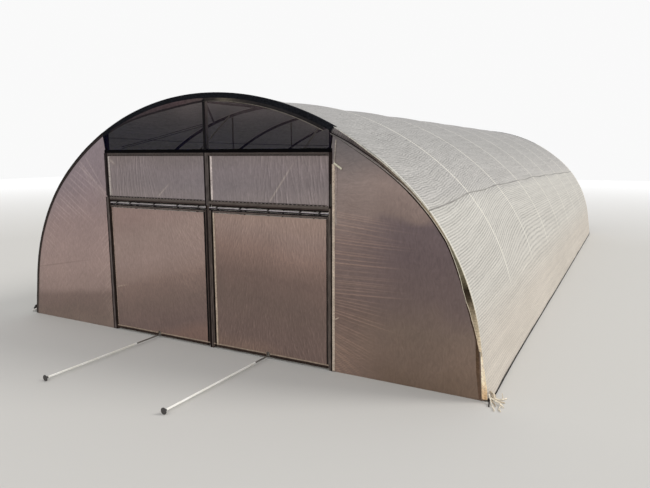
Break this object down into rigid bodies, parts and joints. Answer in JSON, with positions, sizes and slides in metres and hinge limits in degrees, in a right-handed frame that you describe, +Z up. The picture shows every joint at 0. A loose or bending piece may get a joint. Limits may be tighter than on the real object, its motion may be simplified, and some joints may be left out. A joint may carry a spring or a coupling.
{
  "type": "polytunnel greenhouse",
  "caption": "Arched tube-frame greenhouse under net and film, with top-hung flap doors held open by props and a netted vent over them.",
  "frame": {"origin": "on the ground under the middle of the centre door post", "axes": "+X to the right of someone facing the front end, +Y inwards along the tunnel, +Z up"},
  "size_m": [8.5186, 18.073, 3.6946],
  "materials": {
    "galvanised": "dull zinc",
    "weathered_steel": "weathered, brown grey",
    "net_cover": "pale woven net over film",
    "film": "milky film",
    "black_net": "black knitted net",
    "dark_strip": "dark plastic",
    "zinc_prop": "bright zinc"
  },
  "bodies": {
    "tunnel": {"base_rails": "dark_strip", "centre_door_post": "weathered_steel", "corner_knots": "film", "door_header": "weathered_steel", "front_band": "black_net", "front_braces": "galvanised", "front_hoop": "weathered_steel", "inner_hoop_1": "galvanised", "inner_hoop_2": "galvanised", "inner_hoop_3": "galvanised", "inner_hoop_4": "galvanised", "inner_hoop_5": "galvanised", "inner_hoop_6": "galvanised", "inner_hoop_7": "galvanised", "left_cover": "net_cover", "left_door_post": "weathered_steel", "left_front_film": "film", "left_hinge_tube": "galvanised", "left_upper_film": "film", "purlins": "galvanised", "rear_band": "black_net", "rear_film": "film", "rear_hoop": "weathered_steel", "rear_posts": "weathered_steel", "rear_rails": "weathered_steel", "rear_vent_net": "black_net", "right_cover": "net_cover", "right_door_post": "weathered_steel", "right_front_film": "film", "right_hinge_tube": "galvanised", "right_upper_film": "film", "roof_cover": "net_cover", "seam_strips": "dark_strip", "skirts": "dark_strip", "truss_struts": "galvanised", "truss_ties": "galvanised", "vent_beam": "dark_strip", "vent_net": "black_net"},
    "left_door": {"left_door_frame": "weathered_steel", "left_door_film": "film", "left_door_clips": "weathered_steel"},
    "left_prop": {"left_prop": "zinc_prop"},
    "right_door": {"right_door_frame": "weathered_steel", "right_door_film": "film", "right_door_clips": "weathered_steel"},
    "right_prop": {"right_prop": "zinc_prop"}
  },
  "joints": [
    {"name": "left_door_hinge", "type": "hinge", "parent": "tunnel", "child": "left_door", "pos_m": [-1.002, -0.005, 2.085], "axis": [-1, 0, 0], "range_deg": [0, 90]},
    {"name": "left_prop_hinge", "type": "hinge", "parent": "left_door", "child": "left_prop", "pos_m": [-1.045, -0.005, 0.04], "axis": [1, 0, 0], "range_deg": [0, 180]},
    {"name": "right_door_hinge", "type": "hinge", "parent": "tunnel", "child": "right_door", "pos_m": [1.002, -0.005, 2.085], "axis": [-1, 0, 0], "range_deg": [0, 90]},
    {"name": "right_prop_hinge", "type": "hinge", "parent": "right_door", "child": "right_prop", "pos_m": [1.005, -0.005, 0.04], "axis": [1, 0, 0], "range_deg": [0, 180]}
  ]
}
